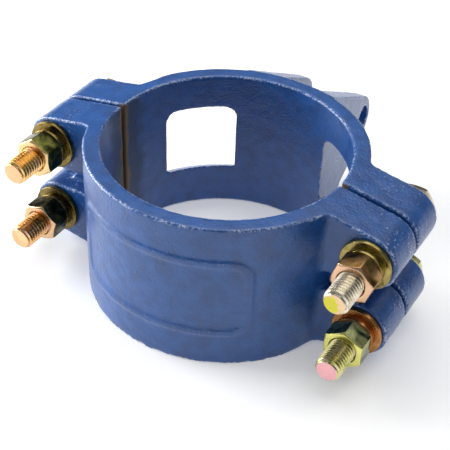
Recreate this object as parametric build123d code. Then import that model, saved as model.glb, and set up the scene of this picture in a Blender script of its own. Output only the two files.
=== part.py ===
from build123d import *
from math import acos, atan2, cos, hypot, pi, radians, sin, sqrt, tan
import os

os.makedirs("parts", exist_ok=True)

# Frame: +Z along the pipe, origin on the pipe axis in the bottom plane.
# The two halves meet on the plane Y = 0: the front half is at -Y, the back half at +Y.
# The bolts run along Y, with their heads at +Y and their nuts at -Y.

# ring
bore_radius = 57.15
ring_wall = 8.5
ring_height = 76.0
bore_round = 0.8
half_gap = 1.0

# lugs and their bosses
bolt_clear = 16.85
bolt_spacing = 38.0
boss_radius = 13.75
seat_depth = 22.0
slope_start = 3.0
split_round = 0.8
lug_fillet = 4.0
web_depth = 14.0

# windows in the back half
window_angle = 47.0
window_edge_angle = 28.4
window_sill = 22.6
window_top = 58.0
window_corner = 5.8
sill_slope = 30.0

# drilled ears behind the back half
ear_offset = 17.2
ear_end_thickness = 6.7
ear_draft = 3.8
ear_length = 52.15
ear_end_radius = 14.0
pin_radius = 6.5
pin_margin = 9.8

# plain raised border on the front half
border_width = 88.0
border_height = 42.0
border_line = 3.0
border_relief = 0.8
border_corner = 9.0

# M12 fasteners
thread_diameter = 12.0
bolt_length = 75.0
across_flats = 18.0
head_height = 7.5
nut_height = 10.8
hex_chamfer_angle = 30.0
hex_chamfer_inset = 0.3
bore_chamfer = 0.6
thread_end_chamfer = 1.5
washer_diameter = 24.0
washer_thickness = 2.5
washer_clearance = 0.5
washer_round = 0.4
lock_wall = 3.1
lock_thickness = 3.1
lock_clearance = 0.2
lock_slot = 2.0
lock_slot_angle = 20.0
running_clearance = 0.05
hole_clearance = 1.0
nut_turns = {"lower_left": 17.0, "lower_right": 30.0, "upper_left": 33.0, "upper_right": 12.0}

# worked out
ring_radius = bore_radius + ring_wall
bolt_offset = ring_radius + bolt_clear
ear_reach = ring_radius + ear_length
pin_reach = ear_reach - pin_margin
mid_height = ring_height / 2
thread_radius = thread_diameter / 2
hole_radius = thread_radius + hole_clearance
bolt_levels = {"lower": mid_height - bolt_spacing / 2, "upper": mid_height + bolt_spacing / 2}
bolt_sides = {"left": -bolt_offset, "right": bolt_offset}
washer_face = -seat_depth - washer_thickness
lock_face = washer_face - lock_thickness
out_x, out_y = cos(radians(window_angle)), sin(radians(window_angle))


def along_y(sketch, start, end):
    # a sketch drawn in X and Z, pushed from Y = start to Y = end
    plane = Plane((0, start, 0), x_dir=(1, 0, 0), z_dir=(0, -1, 0))
    return extrude(plane * sketch, start - end)


def y_cylinder(radius, x, z, start, end):
    return along_y(Pos(x, z) * Circle(radius), start, end)


def on_bolt(shape, side, level):
    return Pos(bolt_sides[side], 0, bolt_levels[level]) * shape


def edges_at_y(shape, y):
    return [e for e in shape.edges() if abs(e.center().Y - y) < 0.01 and e.bounding_box().size.Y < 0.01]


def tangent_point(x, z, centre_x, centre_z, radius):
    # where the upper tangent from (x, z) touches the circle
    distance = hypot(centre_x - x, centre_z - z)
    angle = atan2(z - centre_z, x - centre_x) - acos(radius / distance)
    return centre_x + radius * cos(angle), centre_z + radius * sin(angle)


def mirrored_both_ways(quarter):
    # the quarter above mid-height, copied to the other side and below
    upper = quarter + mirror(quarter, Plane.YZ)
    return upper + Pos(0, 2 * mid_height) * mirror(upper, Plane.XZ)


def bar_outline():
    # seen along the bolts: the lugs slope down from the rim to the bosses
    boss_z = bolt_levels["upper"]
    start_x = bore_radius - slope_start
    touch = tangent_point(start_x, ring_height, bolt_offset, boss_z, boss_radius)
    reach = bolt_offset + boss_radius
    points = [(0, mid_height), (0, ring_height), (start_x, ring_height), touch]
    points += [(bolt_offset, boss_z), (reach, boss_z), (reach, mid_height)]
    quarter = make_face(Polyline(*points, close=True).edges())
    return mirrored_both_ways(quarter + Pos(bolt_offset, boss_z) * Circle(boss_radius))


def plan_outline():
    # seen along the pipe: half a ring with a lug each side, blended by fillets
    outline = Circle(ring_radius) + Rectangle(2 * (bolt_offset + boss_radius), 2 * seat_depth)
    root_x = sqrt(ring_radius**2 - seat_depth**2)
    roots = [v for v in outline.vertices() if abs(abs(v.X) - root_x) < 0.01]
    outline = fillet(roots, lug_fillet) - Circle(bore_radius)
    keep = Rectangle(3 * ring_radius, 2 * ring_radius)
    return outline & Pos(0, ring_radius + half_gap) * keep


def boss_gap(x_sign):
    # the open space between an upper and a lower boss, round at its inner end
    gap = Pos(x_sign * (bolt_offset + boss_radius), mid_height) * Rectangle(2 * boss_radius, bolt_spacing)
    for z in bolt_levels.values():
        gap -= Pos(x_sign * bolt_offset, z) * Circle(boss_radius)
    return gap + Pos(x_sign * bolt_offset, mid_height) * Circle(bolt_spacing / 2 - boss_radius)


def web_pocket(x_sign):
    # the recess that leaves a thin web between two lugs
    depth = 2 * (seat_depth - web_depth)
    centre = Pos(x_sign * bolt_offset, web_depth + depth / 2)
    pocket = centre * Rectangle(2 * (bolt_offset - bore_radius), depth) - Circle(ring_radius)
    height = bolt_spacing - 2 * boss_radius
    return Pos(0, 0, mid_height - height / 2) * extrude(pocket, height)


def edges_on_split(body):
    return [e for e in edges_at_y(body, half_gap) if abs(e.center().X) > ring_radius]


def edges_on_bore(body):
    rims = [e for e in body.edges() if e.geom_type in (GeomType.CIRCLE, GeomType.ELLIPSE)]
    return [e for e in rims if abs(hypot(*tuple(e.position_at(0.5))[:2]) - bore_radius) < 0.01]


def plain_half():
    # the shape that the two halves share, drawn as the back half
    body = extrude(plan_outline(), ring_height)
    body &= along_y(bar_outline(), 0, 2 * ring_radius)
    body = fillet(edges_on_bore(body), bore_round)
    body = fillet(edges_on_split(body), split_round)
    for x_sign in (-1, 1):
        body -= along_y(boss_gap(x_sign), 0, 2 * seat_depth)
        body -= web_pocket(x_sign)
    for bolt_x in bolt_sides.values():
        for z in bolt_levels.values():
            body -= y_cylinder(hole_radius, bolt_x, z, 0, 2 * seat_depth)
    return body


def ear_edge(y, outward):
    # X of a drafted face of the right-hand ear: its outer face, or its inner one
    growth = (ear_reach - y) * tan(radians(ear_draft))
    return ear_offset + outward * (ear_end_thickness / 2 + growth)


def window_plan():
    # one side runs on from the ear's outer face, and the other is cut straight out
    edge = radians(window_edge_angle)
    edge_x, edge_y = bore_radius * cos(edge), bore_radius * sin(edge)
    near, far = -ring_wall, 3 * ring_wall
    ear_near, ear_far = bore_radius - 1.5 * ring_wall, ring_radius + ring_wall
    points = [(edge_x + reach * out_x, edge_y + reach * out_y) for reach in (near, far)]
    points += [(ear_edge(y, 1), y) for y in (ear_far, ear_near)]
    return make_face(Polyline(*points, close=True).edges())


def window_cutter():
    # round corners above, and a sill that falls away outwards
    prism = extrude(window_plan(), window_top)
    tops = prism.edges().group_by(Axis.Z)[-1]
    directions = [(e, e.tangent_at(0.5)) for e in tops]
    sides = [e for e, d in directions if abs(d.Y) > 0.99 or abs(d.X * out_x + d.Y * out_y) > 0.99]
    prism = fillet(sides, window_corner)
    inner, outer = bore_radius - 2 * ring_wall, ring_radius + 2 * ring_wall
    fall = tan(radians(sill_slope))
    inner_z = window_sill + (bore_radius - inner) * fall
    outer_z = window_sill - (outer - bore_radius) * fall
    points = [(inner, inner_z), (outer, outer_z), (outer, ring_height), (inner, ring_height)]
    return prism & revolve(Plane.XZ * make_face(Polyline(*points, close=True).edges()), Axis.Z)


def ear():
    # a drafted gusset that slopes from the rim to a round, drilled end
    wall_y = sqrt(ring_radius**2 - ear_edge(ring_radius, 1) ** 2)
    root_y = wall_y - ring_wall / 2
    end_y = ear_reach - ear_end_radius
    touch = tangent_point(wall_y, ring_height, end_y, mid_height, ear_end_radius)
    points = [(root_y, mid_height), (root_y, ring_height), (wall_y, ring_height)]
    points += [touch, (end_y, mid_height)]
    upper = make_face(Polyline(*points, close=True).edges())
    outline = upper + Pos(0, 2 * mid_height) * mirror(upper, Plane.XZ)
    outline += Pos(end_y, mid_height) * Circle(ear_end_radius)
    outline -= Pos(pin_reach, mid_height) * Circle(pin_radius)
    ends = [(root_y, 1), (ear_reach, 1), (ear_reach, -1), (root_y, -1)]
    corners = [(ear_edge(y, outward), y) for y, outward in ends]
    plan = make_face(Polyline(*corners, close=True).edges())
    return extrude(Plane.YZ * outline, 2 * ear_offset) & extrude(plan, ring_height)


def back_half():
    body = plain_half()
    for piece in (ear(), mirror(ear(), Plane.YZ)):
        body += piece
    for cutter in (window_cutter(), mirror(window_cutter(), Plane.YZ)):
        body -= cutter
    return body


def front_border():
    # a plain raised line on the outside of the wall
    outer = RectangleRounded(border_width, border_height, border_corner)
    inner = RectangleRounded(
        border_width - 2 * border_line, border_height - 2 * border_line, border_corner - border_line
    )
    frame = along_y(Pos(0, mid_height) * (outer - inner), -bore_radius / 2, -2 * ring_radius)
    skin = Cylinder(ring_radius + border_relief, 2 * ring_height)
    skin -= Cylinder(ring_radius - border_relief, 2 * ring_height)
    return frame & skin


def front_half():
    return mirror(plain_half(), Plane.XZ) + front_border()


def hex_prism(start, end, chamfered):
    # a hexagon along Y whose corners are cut by a cone at each chamfered end
    prism = along_y(RegularPolygon(across_flats / 2, 6, major_radius=False), start, end)
    inward = 1 if end > start else -1
    flat = across_flats / 2 - hex_chamfer_inset
    reach = across_flats
    rise = (reach - flat) * tan(radians(hex_chamfer_angle))
    for face, direction in ((start, inward), (end, -inward)):
        if face in chamfered:
            corner = Polyline((flat, face), (reach, face), (reach, face + direction * rise), close=True)
            prism -= revolve(make_face(corner.edges()), Axis.Y)
    return prism


def bolt():
    head = hex_prism(seat_depth, seat_depth + head_height, [seat_depth + head_height])
    shank = y_cylinder(thread_radius, 0, 0, seat_depth, seat_depth - bolt_length)
    shank = chamfer(edges_at_y(shank, seat_depth - bolt_length), thread_end_chamfer)
    return head + shank


def nut():
    end = lock_face - nut_height
    bore = thread_radius + running_clearance
    body = hex_prism(lock_face, end, [lock_face, end]) - y_cylinder(bore, 0, 0, lock_face, end)
    mouths = edges_at_y(body, lock_face) + edges_at_y(body, end)
    return chamfer([e for e in mouths if abs(e.length - 2 * pi * bore) < 0.01], bore_chamfer)


def washer():
    body = y_cylinder(washer_diameter / 2, 0, 0, -seat_depth, washer_face)
    body = fillet(edges_at_y(body, washer_face), washer_round)
    return body - y_cylinder(thread_radius + washer_clearance, 0, 0, 0, 2 * washer_face)


def lock_washer():
    # a square-section ring, cut through by a slanting slot
    inner = thread_radius + lock_clearance
    body = y_cylinder(inner + lock_wall, 0, 0, washer_face, lock_face)
    body -= y_cylinder(inner, 0, 0, washer_face, lock_face)
    slot = Rot(0, 0, lock_slot_angle) * Box(lock_slot, 3 * lock_thickness, 2 * lock_wall)
    return body - Pos(0, (washer_face + lock_face) / 2, -inner - lock_wall / 2) * slot


export_step(back_half(), "parts/back_half.step")
export_step(front_half(), "parts/front_half.step")
for level in bolt_levels:
    for side in bolt_sides:
        place = f"{level}_{side}"
        export_step(on_bolt(bolt(), side, level), f"parts/bolt_{place}.step")
        export_step(on_bolt(washer(), side, level), f"parts/washer_{place}.step")
        export_step(on_bolt(lock_washer(), side, level), f"parts/lock_washer_{place}.step")
        turned_nut = Rot(0, -nut_turns[place], 0) * nut()
        export_step(on_bolt(turned_nut, side, level), f"parts/nut_{place}.step")
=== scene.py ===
import math

import bpy
from mathutils import Matrix, Vector


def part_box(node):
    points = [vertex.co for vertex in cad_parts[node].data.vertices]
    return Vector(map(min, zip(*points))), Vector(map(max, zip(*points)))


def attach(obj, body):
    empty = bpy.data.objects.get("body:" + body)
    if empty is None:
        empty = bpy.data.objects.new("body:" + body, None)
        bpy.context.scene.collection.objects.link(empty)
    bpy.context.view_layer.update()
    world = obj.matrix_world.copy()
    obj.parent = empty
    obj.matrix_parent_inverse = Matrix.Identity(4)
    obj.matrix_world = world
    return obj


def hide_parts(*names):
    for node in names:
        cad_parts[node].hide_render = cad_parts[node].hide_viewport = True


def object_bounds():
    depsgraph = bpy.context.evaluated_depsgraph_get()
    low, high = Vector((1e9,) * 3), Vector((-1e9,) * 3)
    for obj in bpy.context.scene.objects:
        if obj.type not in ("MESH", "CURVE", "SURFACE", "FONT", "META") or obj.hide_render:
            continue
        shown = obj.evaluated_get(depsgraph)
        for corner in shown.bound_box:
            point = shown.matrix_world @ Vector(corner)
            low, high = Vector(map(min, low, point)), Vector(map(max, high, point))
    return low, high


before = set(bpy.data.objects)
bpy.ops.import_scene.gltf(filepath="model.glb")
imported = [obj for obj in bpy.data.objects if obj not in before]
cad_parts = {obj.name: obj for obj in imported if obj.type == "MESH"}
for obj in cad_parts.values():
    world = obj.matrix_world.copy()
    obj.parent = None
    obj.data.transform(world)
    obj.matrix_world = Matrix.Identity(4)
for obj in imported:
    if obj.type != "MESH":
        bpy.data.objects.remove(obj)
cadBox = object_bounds()
mm = 0.001
print("frame loaded", len(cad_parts), "nodes")


def only(piece):
    bpy.ops.object.select_all(action="DESELECT")
    piece.select_set(True)
    bpy.context.view_layer.objects.active = piece


def modify(piece, kind, **settings):
    only(piece)
    modifier = piece.modifiers.new(kind.lower(), kind)
    for key, value in settings.items():
        setattr(modifier, key, value)
    bpy.ops.object.modifier_apply(modifier=modifier.name)


def combine(piece, other, operation):
    modify(piece, "BOOLEAN", object=other, operation=operation, solver="EXACT")
    bpy.data.objects.remove(other)


def closeShell(piece):
    only(piece)
    bpy.ops.object.mode_set(mode="EDIT")
    bpy.ops.mesh.select_all(action="SELECT")
    bpy.ops.mesh.remove_doubles(threshold=0.002 * mm)
    bpy.ops.mesh.normals_make_consistent(inside=False)
    bpy.ops.object.mode_set(mode="OBJECT")


def softShade(piece):
    # smooth across the round faces, crisp at the edges
    only(piece)
    bpy.ops.object.shade_smooth_by_angle(angle=math.radians(35))


def turned(name, spot, rings, sides=64, turn=0):
    # a solid drawn out along Y through rings of (y, radius), as on a lathe
    y, radius = rings[0]
    bpy.ops.object.select_all(action="DESELECT")
    bpy.ops.mesh.primitive_circle_add(
        vertices=sides, radius=radius, fill_type="NGON",
        location=(spot.x, y, spot.z), rotation=(math.pi / 2, math.radians(turn), 0))
    piece = bpy.context.object
    piece.name = name
    bpy.ops.object.transform_apply()
    bpy.ops.object.mode_set(mode="EDIT")
    bpy.ops.mesh.select_all(action="SELECT")
    for nextY, nextRadius in rings[1:]:
        bpy.ops.mesh.extrude_region_move(TRANSFORM_OT_translate={"value": (0, nextY - y, 0)})
        share = nextRadius / radius
        bpy.ops.transform.resize(value=(share, share, share), center_override=(spot.x, nextY, spot.z))
        y, radius = nextY, nextRadius
    bpy.ops.object.mode_set(mode="OBJECT")
    closeShell(piece)
    return piece


def copyOf(piece, name, shift, centre, turn):
    # its own mesh, turned about its own bolt line and moved to another one
    twin = bpy.data.objects.new(name, piece.data.copy())
    bpy.context.scene.collection.objects.link(twin)
    swing = Matrix.Rotation(math.radians(turn), 4, "Y")
    home = Matrix.Translation(centre)
    twin.data.transform(Matrix.Translation(shift) @ home @ swing @ home.inverted())
    return twin


def linear(hexColour, alpha=1.0):
    parts = [int(hexColour[i:i + 2], 16) / 255 for i in (1, 3, 5)]
    return [c / 12.92 if c <= 0.04045 else ((c + 0.055) / 1.055) ** 2.4 for c in parts] + [alpha]


def newMaterial(name):
    material = bpy.data.materials.new(name)
    material.use_nodes = True
    tree = material.node_tree
    shader = tree.nodes["Principled BSDF"]
    return material, tree, shader


def addNode(tree, kind, links=None, **settings):
    node = tree.nodes.new("ShaderNode" + kind)
    for key, value in settings.items():
        setattr(node, key, value)
    for key, value in (links or {}).items():
        if isinstance(value, bpy.types.NodeSocket):
            tree.links.new(value, node.inputs[key])
        else:
            node.inputs[key].default_value = value
    return node


def setRamp(node, stops):
    ramp = node.color_ramp
    while len(ramp.elements) < len(stops):
        ramp.elements.new(0.5)
    for element, (place, colour) in zip(ramp.elements, stops):
        element.position = place
        element.color = linear(colour)


# enamel sprayed over sand-cast iron: a glossy skin that follows the sand grain
enamel = {
    "deep": "#124483",
    "plain": "#16539A",
    "worn": "#B2C0DE",      # chalky, rubbed-through paint on the high edges, and a painted highlight and painted glints
    "stain": "#6A5436",     # rust that creeps out of the split into the bore
    "stainWidth": 3.8,      # mm each side of the split
    "thin": "#2C3A50",      # darker, duller colour inside the bore, next to the stain
    "boreDarkWidth": 16.0,      # mm each side of the split
    "boreDarkCover": 0.8,
    "boreDarkRoughness": 0.7,
    "ragged": 1.5,          # mm, how far the stain's edge wanders
    "boreReach": 60.0,      # mm from the pipe's axis, just past the bore's face
    "grain": 1.1,           # mm, drawn twice the size of real sand so that it shows
    "grainDepth": 0.26,     # mm
    "lumps": 7.0,           # mm, slow hollows of the mould face
    "lumpDepth": 0.13,      # mm
    "patch": 16.0,          # mm, stretches of edge that are rubbed and painted lighter, and of lug that get painted glints
    "lugReach": 70.0,       # mm from the pipe's axis, past which the lugs are cast rougher and get painted glints
    "roughness": 0.33,
    "coat": 0.35,
    "coatRoughness": 0.12,
}


def enamelOnIron():
    material, tree, shader = newMaterial("blueEnamelOnCastIron")
    place = addNode(tree, "TexCoord").outputs["Object"]
    grain = addNode(tree, "TexNoise", {
        "Vector": place, "Scale": 1 / (enamel["grain"] * mm), "Detail": 4.0}).outputs["Fac"]
    lumps = addNode(tree, "TexNoise", {
        "Vector": place, "Scale": 1 / (enamel["lumps"] * mm), "Detail": 4.0}).outputs["Fac"]
    patches = addNode(tree, "TexNoise", {
        "Vector": place, "Scale": 1 / (enamel["patch"] * mm), "Detail": 2.0}).outputs["Fac"]
    tone = addNode(tree, "ValToRGB", {"Fac": lumps})
    setRamp(tone, [(0.3, enamel["deep"]), (0.62, enamel["plain"])])

    # how far each point is from the pipe's axis and from the split
    flatPlace = addNode(tree, "VectorMath", {0: place, 1: (1.0, 1.0, 0.0)}, operation="MULTIPLY")
    radius = addNode(tree, "VectorMath", {0: flatPlace.outputs[0]}, operation="LENGTH").outputs["Value"]
    axes = addNode(tree, "SeparateXYZ", {"Vector": place})
    fromSplit = addNode(tree, "Math", {0: axes.outputs["Y"]}, operation="ABSOLUTE").outputs["Value"]

    # sharp outer edges, broken up by the grain, show chalky rubbed paint and a painted highlight
    pointiness = addNode(tree, "NewGeometry").outputs["Pointiness"]
    sharp = addNode(tree, "MapRange", {"Value": pointiness, "From Min": 0.515, "From Max": 0.55})
    edgeSpecks = addNode(tree, "MapRange", {"Value": grain, "From Min": 0.46, "From Max": 0.58})
    edgePatches = addNode(tree, "MapRange", {"Value": patches, "From Min": 0.3, "From Max": 0.5})
    speckledEdge = addNode(tree, "Math", {
        0: sharp.outputs["Result"], 1: edgeSpecks.outputs["Result"]}, operation="MULTIPLY")
    edgeWearAndHighlight = addNode(tree, "Math", {
        0: speckledEdge.outputs["Value"], 1: edgePatches.outputs["Result"]}, operation="MULTIPLY")

    # painted glints on the rougher lugs, here and there, which stand in for light caught by the rough
    # casting
    pastRing = addNode(tree, "MapRange", {
        "Value": radius, "From Min": enamel["lugReach"] * mm, "From Max": (enamel["lugReach"] + 8) * mm})
    lugGlintSpecks = addNode(tree, "MapRange", {"Value": grain, "From Min": 0.6, "From Max": 0.68})
    lugGlintPatches = addNode(tree, "MapRange", {"Value": patches, "From Min": 0.46, "From Max": 0.62})
    glintPatch = addNode(tree, "Math", {
        0: lugGlintSpecks.outputs["Result"], 1: lugGlintPatches.outputs["Result"]}, operation="MULTIPLY")
    lugGlints = addNode(tree, "Math", {
        0: glintPatch.outputs["Value"], 1: pastRing.outputs["Result"]}, operation="MULTIPLY")
    wearAndGlints = addNode(tree, "Math", {
        0: edgeWearAndHighlight.outputs["Value"], 1: lugGlints.outputs["Value"]}, operation="MAXIMUM")
    # the rubbed edges, the painted edge highlight and the painted glints lighten the colour
    worn = addNode(tree, "Mix", {
        "Factor": wearAndGlints.outputs["Value"], "A": tone.outputs["Color"], "B": linear(enamel["worn"])},
        data_type="RGBA")

    # in the bore, a darker duller band and then rust run along the split with a ragged edge
    inBore = addNode(tree, "MapRange", {
        "Value": radius, "From Min": (enamel["boreReach"] + 1) * mm, "From Max": enamel["boreReach"] * mm})
    belowRim = addNode(tree, "MapRange", {
        "Value": axes.outputs["Z"],
        "From Min": cadBox[1][2] - 1.0 * mm, "From Max": cadBox[1][2] - 2.5 * mm})
    inside = addNode(tree, "Math", {
        0: inBore.outputs["Result"], 1: belowRim.outputs["Result"]}, operation="MULTIPLY")
    ragged = addNode(tree, "MapRange", {
        "Value": lumps, "From Min": 0.3, "From Max": 0.7,
        "To Min": -enamel["ragged"] * mm, "To Max": enamel["ragged"] * mm})
    away = addNode(tree, "Math", {0: fromSplit, 1: ragged.outputs["Result"]}, operation="ADD")
    boreDarkBand = addNode(tree, "MapRange", {
        "Value": away.outputs["Value"],
        "From Min": enamel["boreDarkWidth"] * mm, "From Max": 0.6 * enamel["boreDarkWidth"] * mm})
    stainBand = addNode(tree, "MapRange", {
        "Value": away.outputs["Value"],
        "From Min": enamel["stainWidth"] * mm, "From Max": (enamel["stainWidth"] - enamel["ragged"]) * mm})
    boreDarkArea = addNode(tree, "Math", {
        0: boreDarkBand.outputs["Result"], 1: inside.outputs["Value"]}, operation="MULTIPLY")
    boreDarkShare = addNode(tree, "Math", {
        0: boreDarkArea.outputs["Value"], 1: enamel["boreDarkCover"]}, operation="MULTIPLY")
    stainArea = addNode(tree, "Math", {
        0: stainBand.outputs["Result"], 1: inside.outputs["Value"]}, operation="MULTIPLY")
    thin = addNode(tree, "Mix", {
        "Factor": boreDarkShare.outputs["Value"], "A": worn.outputs[2], "B": linear(enamel["thin"])},
        data_type="RGBA")
    stained = addNode(tree, "Mix", {
        "Factor": stainArea.outputs["Value"], "A": thin.outputs[2], "B": linear(enamel["stain"])},
        data_type="RGBA")
    tree.links.new(stained.outputs[2], shader.inputs["Base Color"])
    rough = addNode(tree, "MapRange", {
        "Value": boreDarkArea.outputs["Value"],
        "To Min": enamel["roughness"], "To Max": enamel["boreDarkRoughness"]})
    tree.links.new(rough.outputs["Result"], shader.inputs["Roughness"])

    lumpBump = addNode(tree, "Bump", {
        "Height": lumps, "Distance": enamel["lumpDepth"] * mm, "Strength": 1.0})
    grainBump = addNode(tree, "Bump", {
        "Height": grain, "Distance": enamel["grainDepth"] * mm, "Strength": 1.0,
        "Normal": lumpBump.outputs["Normal"]})
    tree.links.new(grainBump.outputs["Normal"], shader.inputs["Normal"])
    tree.links.new(grainBump.outputs["Normal"], shader.inputs["Coat Normal"])
    shader.inputs["Coat Weight"].default_value = enamel["coat"]
    shader.inputs["Coat Roughness"].default_value = enamel["coatRoughness"]
    return material


# yellow-passivated zinc plate on steel: a bright metal whose thin film drifts through gold, green and pink
zinc = {
    "drift": 7.0,           # mm, how soon the film changes colour
    "facet": 3.0,           # mm, how far the pattern jumps from face to face
    "roughness": 0.24,
    "scratch": 0.8,         # mm
    "scratchDepth": 0.02,   # mm
    "dirt": "#1C160C",      # painted shade that darkens the thread and the hollows under the nut
}


def yellowZinc(name, colours, sheenFaceColour=None):
    material, tree, shader = newMaterial(name)
    coordinates = addNode(tree, "TexCoord")
    # the film thickness changes from face to face, so the face's direction moves the pattern too
    facing = addNode(tree, "VectorMath", {
        0: coordinates.outputs["Normal"], "Scale": zinc["facet"] * mm}, operation="SCALE")
    place = addNode(tree, "VectorMath", {
        0: coordinates.outputs["Object"], 1: facing.outputs[0]}, operation="ADD")
    film = addNode(tree, "TexNoise", {
        "Vector": place.outputs[0], "Scale": 1 / (zinc["drift"] * mm), "Detail": 2.0, "Distortion": 0.6})
    tone = addNode(tree, "ValToRGB", {"Fac": film.outputs["Fac"]})
    setRamp(tone, [(0.3 + 0.4 * i / (len(colours) - 1), c) for i, c in enumerate(colours)])
    plated = tone.outputs["Color"]
    if sheenFaceColour:
        # painted sheen: the end faces turned towards -Y are paler than the sides
        facingEnd = addNode(tree, "SeparateXYZ", {"Vector": coordinates.outputs["Normal"]})
        pale = addNode(tree, "MapRange", {
            "Value": facingEnd.outputs["Y"], "From Min": -0.3, "From Max": -0.55})
        mixed = addNode(tree, "Mix", {
            "Factor": pale.outputs["Result"], "A": plated, "B": linear(sheenFaceColour)}, data_type="RGBA")
        plated = mixed.outputs[2]
    # painted shade: hollows such as the thread's roots are darkened
    pointiness = addNode(tree, "NewGeometry").outputs["Pointiness"]
    hollow = addNode(tree, "MapRange", {"Value": pointiness, "From Min": 0.485, "From Max": 0.43})
    creaseShaded = addNode(tree, "Mix", {
        "Factor": hollow.outputs["Result"], "A": plated, "B": linear(zinc["dirt"])}, data_type="RGBA")
    tree.links.new(creaseShaded.outputs[2], shader.inputs["Base Color"])
    marks = addNode(tree, "TexNoise", {
        "Vector": coordinates.outputs["Object"], "Scale": 1 / (zinc["scratch"] * mm), "Detail": 2.0})
    bump = addNode(tree, "Bump", {
        "Height": marks.outputs["Fac"], "Distance": zinc["scratchDepth"] * mm, "Strength": 0.6})
    tree.links.new(bump.outputs["Normal"], shader.inputs["Normal"])
    haze = addNode(tree, "MapRange", {
        "Value": film.outputs["Fac"], "From Min": 0.3, "From Max": 0.7,
        "To Min": zinc["roughness"] - 0.06, "To Max": zinc["roughness"] + 0.1})
    tree.links.new(haze.outputs["Result"], shader.inputs["Roughness"])
    shader.inputs["Metallic"].default_value = 1.0
    return material


# thick inspection paint over part of a bolt's end, with a ragged edge
dab = {
    "radius": 3.6,          # mm
    "across": -1.9,         # mm, its place beside and below the bolt line
    "above": -0.6,
    "smear": 2.0,           # mm
    "ragged": 1.2,          # mm, how far its edge wanders
    "edge": 0.5,            # mm, over which the paint thins out
}


def dabOfPaint(material, centre, colour):
    tree = material.node_tree
    shader = tree.nodes["Principled BSDF"]
    metal = shader.inputs["Base Color"].links[0].from_socket
    place = addNode(tree, "TexCoord").outputs["Object"]
    smear = addNode(tree, "TexNoise", {"Vector": place, "Scale": 1 / (dab["smear"] * mm), "Detail": 2.0})
    spread = addNode(tree, "VectorMath", {0: place, 1: centre}, operation="DISTANCE")
    ragged = addNode(tree, "MapRange", {
        "Value": smear.outputs["Fac"], "From Min": 0.3, "From Max": 0.7,
        "To Min": -dab["ragged"] * mm, "To Max": dab["ragged"] * mm})
    edge = addNode(tree, "Math", {
        0: spread.outputs["Value"], 1: ragged.outputs["Result"]}, operation="ADD")
    cover = addNode(tree, "MapRange", {
        "Value": edge.outputs["Value"],
        "From Min": dab["radius"] * mm, "From Max": (dab["radius"] - dab["edge"]) * mm})
    painted = addNode(tree, "Mix", {
        "Factor": cover.outputs["Result"], "A": metal, "B": linear(colour)}, data_type="RGBA")
    tree.links.new(painted.outputs[2], shader.inputs["Base Color"])
    bare = addNode(tree, "Math", {0: 1.0, 1: cover.outputs["Result"]}, operation="SUBTRACT")
    tree.links.new(bare.outputs["Value"], shader.inputs["Metallic"])


# the two cast halves
casting = {
    "voxel": 0.82,          # mm, fine enough for the raised border and the split
    "passes": 2,            # smoothing that leaves the mould's round edges
    "lumpSize": 6.0,        # mm
    "lumpDepth": 0.3,       # mm, all of it below the true surface
}


def castHalf(name, node, body, material):
    piece = bpy.data.objects.new(name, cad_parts[node].data.copy())
    bpy.context.scene.collection.objects.link(piece)
    closeShell(piece)
    modify(piece, "REMESH", mode="VOXEL", voxel_size=casting["voxel"] * mm, use_smooth_shade=True)
    modify(piece, "SMOOTH", factor=0.5, iterations=casting["passes"])
    lumps = bpy.data.textures.new("sandLumps", "CLOUDS")
    lumps.noise_scale = casting["lumpSize"] * mm
    modify(piece, "DISPLACE", texture=lumps, texture_coords="LOCAL", mid_level=1.0,
           strength=casting["lumpDepth"] * mm)
    only(piece)
    bpy.ops.object.shade_smooth()
    piece.data.materials.clear()
    piece.data.materials.append(material)
    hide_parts(node)
    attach(piece, body)
    print(name, len(piece.data.polygons), "faces")
    return piece


enamelPaint = enamelOnIron()
castHalf("castBackHalf", "back_half", "back", enamelPaint)
castHalf("castFrontHalf", "front_half", "front", enamelPaint)

# the fasteners are modelled once, on the upper right bolt line, and copied to the others
home = "upper_right"
low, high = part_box("bolt_" + home)
spot = (low + high) / 2
nutLow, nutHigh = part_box("nut_" + home)
washerLow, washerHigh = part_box("washer_" + home)
lockLow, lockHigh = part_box("lock_washer_" + home)

# the bolt head's flats face up and down, so its box is as high as it measures across flats
cornerRadius = (high.z - low.z) / 2 / math.cos(math.pi / 6)

# every hexagon, on a bolt's head or a nut
hexagon = {
    "face": 8.6 * mm,           # radius of the flat circle that the chamfer leaves
    "slope": math.radians(30),
    "edge": 0.25 * mm,
}


def hexBlank(name, y0, y1, chamferFirst, chamferLast):
    face = hexagon["face"]
    drop = (cornerRadius - face) * math.tan(hexagon["slope"])
    block = turned(name, spot, [(y0, cornerRadius), (y1, cornerRadius)], sides=6, turn=90)
    rings = [
        (y0, face if chamferFirst else cornerRadius),
        (y0 + drop, cornerRadius),
        (y1 - drop, cornerRadius),
        (y1, face if chamferLast else cornerRadius),
    ]
    combine(block, turned("cone", spot, rings, sides=96), "INTERSECT")
    modify(block, "BEVEL", width=hexagon["edge"], segments=2, limit_method="ANGLE",
           angle_limit=math.radians(40))
    return block


bolt = {
    "pitch": 1.75 * mm,
    "depth": 0.6134 * 1.75 * mm,    # of the thread, from its pitch
    "sunk": 0.2 * mm,               # the ridge's foot, inside the core
    "radius": 6.0 * mm,
    "threadLength": 30 * mm,
    "endChamfer": 1.2 * mm,
    "headHeight": 7.5 * mm,
}


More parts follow.
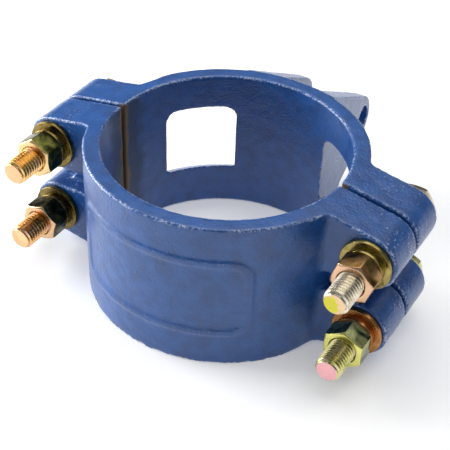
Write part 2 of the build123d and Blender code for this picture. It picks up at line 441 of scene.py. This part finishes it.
def threadRidge(y0, turns):
    # one closed trapezoid, swept round the bolt line with the pitch
    crest = bolt["pitch"] / 8
    base = crest + 2 * bolt["depth"] * math.tan(math.radians(30))
    outer = bolt["radius"]
    inner = outer - bolt["depth"] - bolt["sunk"]
    bpy.ops.object.select_all(action="DESELECT")
    bpy.ops.mesh.primitive_plane_add(size=1, location=((inner + outer) / 2, 0, 0))
    ridge = bpy.context.object
    ridge.scale = (outer - inner, base, 1)
    bpy.ops.object.transform_apply()
    bpy.ops.object.mode_set(mode="EDIT")
    bpy.ops.mesh.select_mode(type="VERT")
    bpy.ops.mesh.select_all(action="DESELECT")
    bpy.ops.object.mode_set(mode="OBJECT")
    for vertex in ridge.data.vertices:
        vertex.select = vertex.co.x > outer - 0.1 * mm
    bpy.ops.object.mode_set(mode="EDIT")
    bpy.ops.transform.resize(value=(1, crest / base, 1), center_override=(outer, 0, 0))
    bpy.ops.object.mode_set(mode="OBJECT")
    modify(ridge, "SCREW", axis="Y", angle=2 * math.pi, screw_offset=bolt["pitch"], iterations=turns,
           steps=40, render_steps=40, use_merge_vertices=True, merge_threshold=0.001 * mm)
    only(ridge)
    bpy.ops.object.mode_set(mode="EDIT")
    bpy.ops.mesh.select_all(action="SELECT")
    bpy.ops.mesh.fill_holes(sides=4)
    bpy.ops.object.mode_set(mode="OBJECT")
    ridge.data.transform(Matrix.Translation((spot.x, y0, spot.z)))
    closeShell(ridge)
    return ridge


def makeBolt():
    headFace, end = high.y, low.y
    seat = headFace - bolt["headHeight"]
    threadStart = end + bolt["threadLength"]
    radius = bolt["radius"]
    root = radius - bolt["depth"]
    shaft = turned("bolt", spot, [(end - mm, root), (threadStart, root)])
    turns = math.ceil(bolt["threadLength"] / bolt["pitch"]) + 1
    combine(shaft, threadRidge(end - bolt["pitch"], turns), "UNION")
    # the end's chamfer runs on past the crests, so that the trimming cone never grazes them
    chamfer = bolt["endChamfer"]
    rings = [(end, radius - chamfer), (end + chamfer + mm, radius + mm), (threadStart, radius + mm)]
    combine(shaft, turned("tip", spot, rings, sides=96), "INTERSECT")
    rings = [(threadStart - mm, root), (threadStart, radius), (seat + mm, radius)]
    combine(shaft, turned("shank", spot, rings, sides=96), "UNION")
    combine(shaft, hexBlank("head", seat, headFace, False, True), "UNION")
    closeShell(shaft)
    bpy.ops.object.mode_set(mode="EDIT")
    bpy.ops.mesh.select_all(action="SELECT")
    bpy.ops.mesh.fill_holes(sides=4)     # a sliver that the merge can leave under the head
    bpy.ops.object.mode_set(mode="OBJECT")
    softShade(shaft)
    return shaft


nut = {
    "clearance": 0.06 * mm,
    "sink": 0.7 * mm,           # how far the bore's mouth is countersunk, and past it
}


def makeNut():
    blank = hexBlank("nut", nutLow.y, nutHigh.y, True, True)
    bore = bolt["radius"] + nut["clearance"]
    sink = nut["sink"]
    rings = [
        (nutLow.y - sink, bore + 2 * sink),
        (nutLow.y + sink, bore),
        (nutHigh.y - sink, bore),
        (nutHigh.y + sink, bore + 2 * sink),
    ]
    combine(blank, turned("bore", spot, rings, sides=96), "DIFFERENCE")
    softShade(blank)
    return blank


washer = {"inner": 6.5 * mm, "edge": 0.35 * mm}


def makeWasher():
    outer = (washerHigh.x - washerLow.x) / 2
    inner = washer["inner"]
    disc = turned("washer", spot, [(washerLow.y, outer), (washerHigh.y, outer)], sides=96)
    hole = turned("hole", spot, [(washerLow.y - mm, inner), (washerHigh.y + mm, inner)], sides=96)
    combine(disc, hole, "DIFFERENCE")
    modify(disc, "BEVEL", width=washer["edge"], segments=3, limit_method="ANGLE",
           angle_limit=math.radians(50))
    softShade(disc)
    return disc


lockWasher = {
    "inner": 6.2 * mm,
    "edge": 0.3 * mm,
    "sweep": 342,               # degrees of ring, which leaves the slot
    "start": 99,                # degrees, which puts the slot below the bolt
}


def makeLockWasher():
    # a small square section, spun round the bolt line short of a full turn
    inner = lockWasher["inner"]
    thickness = lockHigh.y - lockLow.y
    outer = inner + thickness
    bpy.ops.object.select_all(action="DESELECT")
    bpy.ops.mesh.primitive_plane_add(size=1, location=((inner + outer) / 2, 0, 0))
    ring = bpy.context.object
    ring.scale = (thickness, thickness, 1)
    bpy.ops.object.transform_apply()
    bpy.ops.object.mode_set(mode="EDIT")
    bpy.ops.mesh.select_all(action="SELECT")
    sweep = math.radians(lockWasher["sweep"])
    bpy.ops.mesh.spin(steps=72, angle=sweep, center=(0, 0, 0), axis=(0, 1, 0))
    bpy.ops.object.mode_set(mode="OBJECT")
    turn = Matrix.Rotation(math.radians(lockWasher["start"]), 4, "Y")
    middle = (lockLow.y + lockHigh.y) / 2
    ring.data.transform(Matrix.Translation((spot.x, middle, spot.z)) @ turn)
    closeShell(ring)
    modify(ring, "BEVEL", width=lockWasher["edge"], segments=3, limit_method="ANGLE",
           angle_limit=math.radians(50))
    softShade(ring)
    return ring


boltModel = makeBolt()
nutModel = makeNut()
washerModel = makeWasher()
lockModel = makeLockWasher()
print("fasteners modelled")

# each place on the clamp: how far its pieces are turned, and the film colours that its pieces took; the
# washer colours are darkened as well, painted shade and dark reflection from the nut over them
places = {
    "upper_right": {"nutTurn": -12, "headTurn": -2,
                    "nut": ["#5E4420", "#94703C", "#A88054", "#6E6030"], "nutFace": "#DDB592",
                    "bolt": ["#A8946C", "#EAE4D4", "#D0C098"],
                    "washer": ["#7A6C3C", "#B8A668"],
                    "end": ["#D8B890", "#E8C8A0"], "paint": "#E6E020"},
    "lower_right": {"nutTurn": -30, "headTurn": 17,
                    "nut": ["#30342A", "#7A8660", "#B4B478", "#98A67C"], "nutFace": "#DEDA80",
                    "bolt": ["#8C9C50", "#DCD490", "#D8CCB4"],
                    "washer": ["#9A683A", "#CC9058"],
                    "end": ["#E8A8B0", "#F0B8B8"]},
    "upper_left": {"nutTurn": -33, "headTurn": 5,
                   "nut": ["#16180A", "#34361A", "#5C5C2C", "#8C8048"], "nutFace": "#E6C48E",
                   "bolt": ["#C09050", "#F0C878", "#E0B0A8"],
                   "washer": ["#54461E", "#9C8850"],
                   "end": ["#E8B088", "#F0C090"]},
    "lower_left": {"nutTurn": -17, "headTurn": 30,
                   "nut": ["#16140A", "#2E2C16", "#504A24", "#84784A"], "nutFace": "#DEB890",
                   "bolt": ["#A88048", "#E4B878", "#DCAAA0"],
                   "washer": ["#483C1C", "#8C7A48"],
                   "end": ["#F0B080", "#F8C898"]},
}


def finishPiece(piece, node, body, material):
    piece.data.materials.clear()
    piece.data.materials.append(material)
    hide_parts(node)
    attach(piece, body)


for placeName, look in places.items():
    nodeLow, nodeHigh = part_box("bolt_" + placeName)
    here = (nodeLow + nodeHigh) / 2
    shift = Vector((here.x - spot.x, 0, here.z - spot.z))
    capital = "".join(word.capitalize() for word in placeName.split("_"))
    plates = {}
    for part in ("nut", "bolt", "washer", "end"):
        name = "yellowZinc" + part.capitalize() + capital
        plates[part] = yellowZinc(name, look[part], look.get(part + "Face"))
    boltPiece = copyOf(boltModel, "bolt" + capital, shift, spot, look["headTurn"])
    finishPiece(boltPiece, "bolt_" + placeName, "bolt_" + placeName, plates["bolt"])
    boltPiece.data.materials.append(plates["end"])
    if "paint" in look:
        centre = (here.x + dab["across"] * mm, nodeLow.y, here.z + dab["above"] * mm)
        dabOfPaint(plates["end"], centre, look["paint"])
    for face in boltPiece.data.polygons:
        if face.center.y < nodeLow.y + 0.01 * mm:
            face.material_index = 1
    nutPiece = copyOf(nutModel, "nut" + capital, shift, spot, look["nutTurn"])
    finishPiece(nutPiece, "nut_" + placeName, "nut_" + placeName, plates["nut"])
    # painted shade: the washers' colours are darker than their film, for the nut standing over them
    washerPiece = copyOf(washerModel, "washer" + capital, shift, spot, 0)
    finishPiece(washerPiece, "washer_" + placeName, "washers_" + placeName, plates["washer"])
    lockPiece = copyOf(lockModel, "lockWasher" + capital, shift, spot, 0)
    finishPiece(lockPiece, "lock_washer_" + placeName, "washers_" + placeName, plates["washer"])
    print("placed", placeName)

for model in (boltModel, nutModel, washerModel, lockModel):
    bpy.data.objects.remove(model)

floor = {"size": 6.0, "colour": "#F4F4F4", "glow": 0.3}      # the glow is a lit paper sweep
bpy.ops.object.select_all(action="DESELECT")
bpy.ops.mesh.primitive_plane_add(size=floor["size"], location=(0, 0, cadBox[0][2]))
floorPiece = bpy.context.object
floorPiece.name = "floor"
floorPaint, floorTree, floorShader = newMaterial("paleStudioFloor")
floorShader.inputs["Base Color"].default_value = linear(floor["colour"])
floorShader.inputs["Roughness"].default_value = 0.8
floorShader.inputs["Emission Color"].default_value = linear(floor["colour"])
floorShader.inputs["Emission Strength"].default_value = floor["glow"]
floorPiece.data.materials.append(floorPaint)

view = {
    "azimuth": 29.61, "elevation": 38.05, "roll": 2.08,     # degrees
    "distance": 555 * mm, "right": 1.2 * mm, "up": 21.8 * mm,
    "lens": 89.7,
}


def addCamera():
    turn, rise, roll = (math.radians(view[k]) for k in ("azimuth", "elevation", "roll"))
    back = Vector((math.sin(turn) * math.cos(rise), -math.cos(turn) * math.cos(rise), math.sin(rise)))
    side = Vector((math.cos(turn), math.sin(turn), 0))
    top = back.cross(side)
    right = math.cos(roll) * side + math.sin(roll) * top
    up = math.cos(roll) * top - math.sin(roll) * side
    bpy.ops.object.camera_add()
    camera = bpy.context.object
    spotPlace = right * view["right"] + up * view["up"] + back * view["distance"]
    camera.matrix_world = Matrix.Translation(spotPlace) @ Matrix((right, up, back)).transposed().to_4x4()
    camera.data.lens = view["lens"]
    camera.data.sensor_width = 36
    camera.data.clip_start = 0.01
    bpy.context.scene.camera = camera


addCamera()

lamps = {
    "leftBox": {"place": (-0.9, -0.2, 0.3), "size": 0.6, "power": 13},
    "topBox": {"place": (0.0, 0.35, 1.6), "size": 2.0, "power": 21},
}
for name, lamp in lamps.items():
    bpy.ops.object.light_add(type="AREA", location=lamp["place"])
    light = bpy.context.object
    light.name = name
    light.data.size = lamp["size"]
    light.data.energy = lamp["power"]
    light.rotation_euler = (-Vector(lamp["place"])).to_track_quat("-Z", "Y").to_euler()

room = {"colour": (0.95, 0.96, 1.0, 1), "strength": 0.22}
world = bpy.data.worlds.new("softRoom")
bpy.context.scene.world = world
world.use_nodes = True
background = world.node_tree.nodes["Background"]
background.inputs["Color"].default_value = room["colour"]
background.inputs["Strength"].default_value = room["strength"]
bpy.context.scene.view_settings.view_transform = "Standard"
print("stage set")
